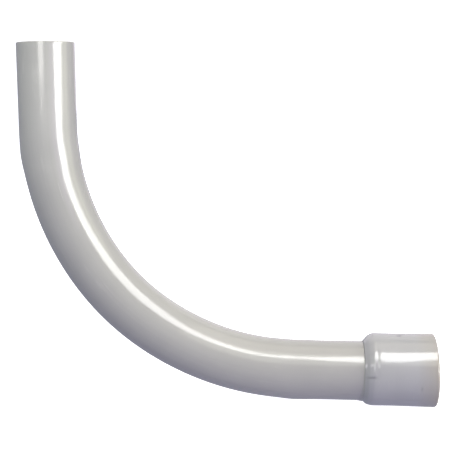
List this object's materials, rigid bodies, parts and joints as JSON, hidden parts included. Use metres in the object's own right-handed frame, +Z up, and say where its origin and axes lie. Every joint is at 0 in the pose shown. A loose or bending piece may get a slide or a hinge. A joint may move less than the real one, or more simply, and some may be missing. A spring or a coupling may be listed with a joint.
{
  "type": "conduit elbow",
  "caption": "Quarter-turn bend of rigid plastic electrical conduit, with a plain end at the top and a welded coupling socket at the other end.",
  "frame": {"origin": "centre of the coupling's open mouth", "axes": "+X out of the socket's mouth, along the lower leg; +Z up along the plain leg; the elbow is symmetric about the XZ plane"},
  "size_m": [0.1916, 0.0336, 0.1692],
  "materials": {
    "tube_pvc": "glossy extruded grey PVC with faint lengthwise draw lines",
    "coupling_pvc": "glossy moulded grey PVC with light handling marks",
    "solvent_cement": "cured solvent cement, smooth and wet-looking"
  },
  "bodies": {
    "root": {"conduit_bend": "tube_pvc", "socket_coupling": "coupling_pvc", "cement_bond": "solvent_cement"}
  },
  "joints": []
}
